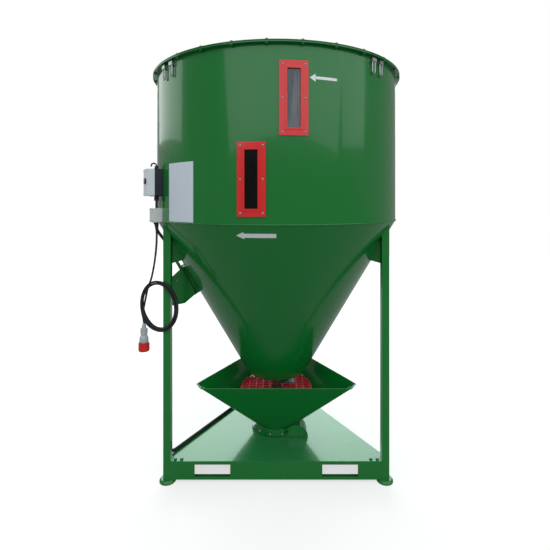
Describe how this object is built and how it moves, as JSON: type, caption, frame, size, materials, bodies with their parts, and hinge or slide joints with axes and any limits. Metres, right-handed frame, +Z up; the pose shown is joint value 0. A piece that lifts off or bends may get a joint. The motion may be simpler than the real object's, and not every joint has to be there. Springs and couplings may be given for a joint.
{
  "type": "vertical feed mixer",
  "caption": "Vertical feed mixer: sheet-steel drum and cone on a three-legged skid base, with a bottom filling hopper, a central auger, sight windows and a side discharge chute.",
  "frame": {"origin": "on the floor under the auger's axis, the middle of the tank's rim seen from above", "axes": "+Z up along the auger, -Y towards the front with the sight windows and the long side of the hopper, +X to the right seen from the front"},
  "size_m": [1.488, 1.488, 2.3853],
  "materials": {
    "green_paint": "gloss green paint on sheet steel",
    "red_paint": "gloss red paint",
    "steel": "bare and zinc-plated steel",
    "pane": "clear plastic sheet, dusty inside",
    "black_rubber": "matt black rubber",
    "motor_paint": "satin blue paint on cast housing",
    "dark_plastic": "satin dark plastic",
    "pale_plastic": "satin pale grey plastic",
    "red_plastic": "red moulded plastic"
  },
  "bodies": {
    "frame": {"beam_front": "green_paint", "beam_left": "green_paint", "beam_right": "green_paint", "base_plate": "green_paint", "leg_left": "green_paint", "leg_right": "green_paint", "leg_rear": "green_paint", "foot_left": "green_paint", "foot_right": "green_paint", "foot_rear": "green_paint", "gusset_left": "green_paint", "gusset_right": "green_paint", "gusset_rear": "green_paint", "drum": "green_paint", "cone": "green_paint", "lid": "green_paint", "lid_seal": "black_rubber", "hatch_collar": "green_paint", "inlet_spigot": "green_paint", "rim_latches": "steel", "window_upper": "red_paint", "window_lower": "red_paint", "pane_upper": "pane", "pane_lower": "pane", "riser_tube": "green_paint", "riser_arms": "green_paint", "top_bridge": "green_paint", "top_bearing": "steel", "hopper": "green_paint", "grate": "red_paint", "neck": "green_paint", "cleanout": "green_paint", "bottom_bearing": "steel", "motor": "motor_paint", "terminal_box": "motor_paint", "drive_belt": "black_rubber", "chute_collar": "green_paint", "chute": "green_paint", "switch_base": "dark_plastic", "switch_cover": "pale_plastic", "switch_knob": "dark_plastic", "junction_box": "pale_plastic", "box_links": "black_rubber", "conduit": "black_rubber", "cord_lead": "black_rubber", "cord_coil": "black_rubber", "cord_tail": "black_rubber", "plug_body": "pale_plastic", "plug_collar": "red_plastic"},
    "auger": {"auger_shaft": "steel", "auger_flight": "steel", "auger_pulley": "steel"},
    "motor_rotor": {"motor_pulley": "steel"},
    "hatch": {"hatch_cover": "green_paint"},
    "cap": {"inlet_cap": "green_paint"},
    "gate": {"slide_gate": "steel"}
  },
  "joints": [
    {"name": "auger_turn", "type": "hinge", "parent": "frame", "child": "auger", "pos_m": [0, 0, 1.2], "axis": [0, 0, 1], "continuous": true},
    {"name": "motor_turn", "type": "hinge", "parent": "frame", "child": "motor_rotor", "pos_m": [0, 0.545, 0.06], "axis": [0, 0, 1], "continuous": true},
    {"name": "hatch_hinge", "type": "hinge", "parent": "frame", "child": "hatch", "pos_m": [0.067, -0.05, 2.2943], "axis": [-1, 0, 0], "range_deg": [0, 110]},
    {"name": "cap_lift", "type": "slide", "parent": "frame", "child": "cap", "axis": [0, 0, 1], "range_m": [0, 0.06]},
    {"name": "gate_slide", "type": "slide", "parent": "frame", "child": "gate", "axis": [-0.4991, 0, 0.8665], "range_m": [0, 0.15]}
  ],
  "couplings": [
    {"joint": "motor_turn", "follows": "auger_turn", "ratio": 2.25}
  ]
}
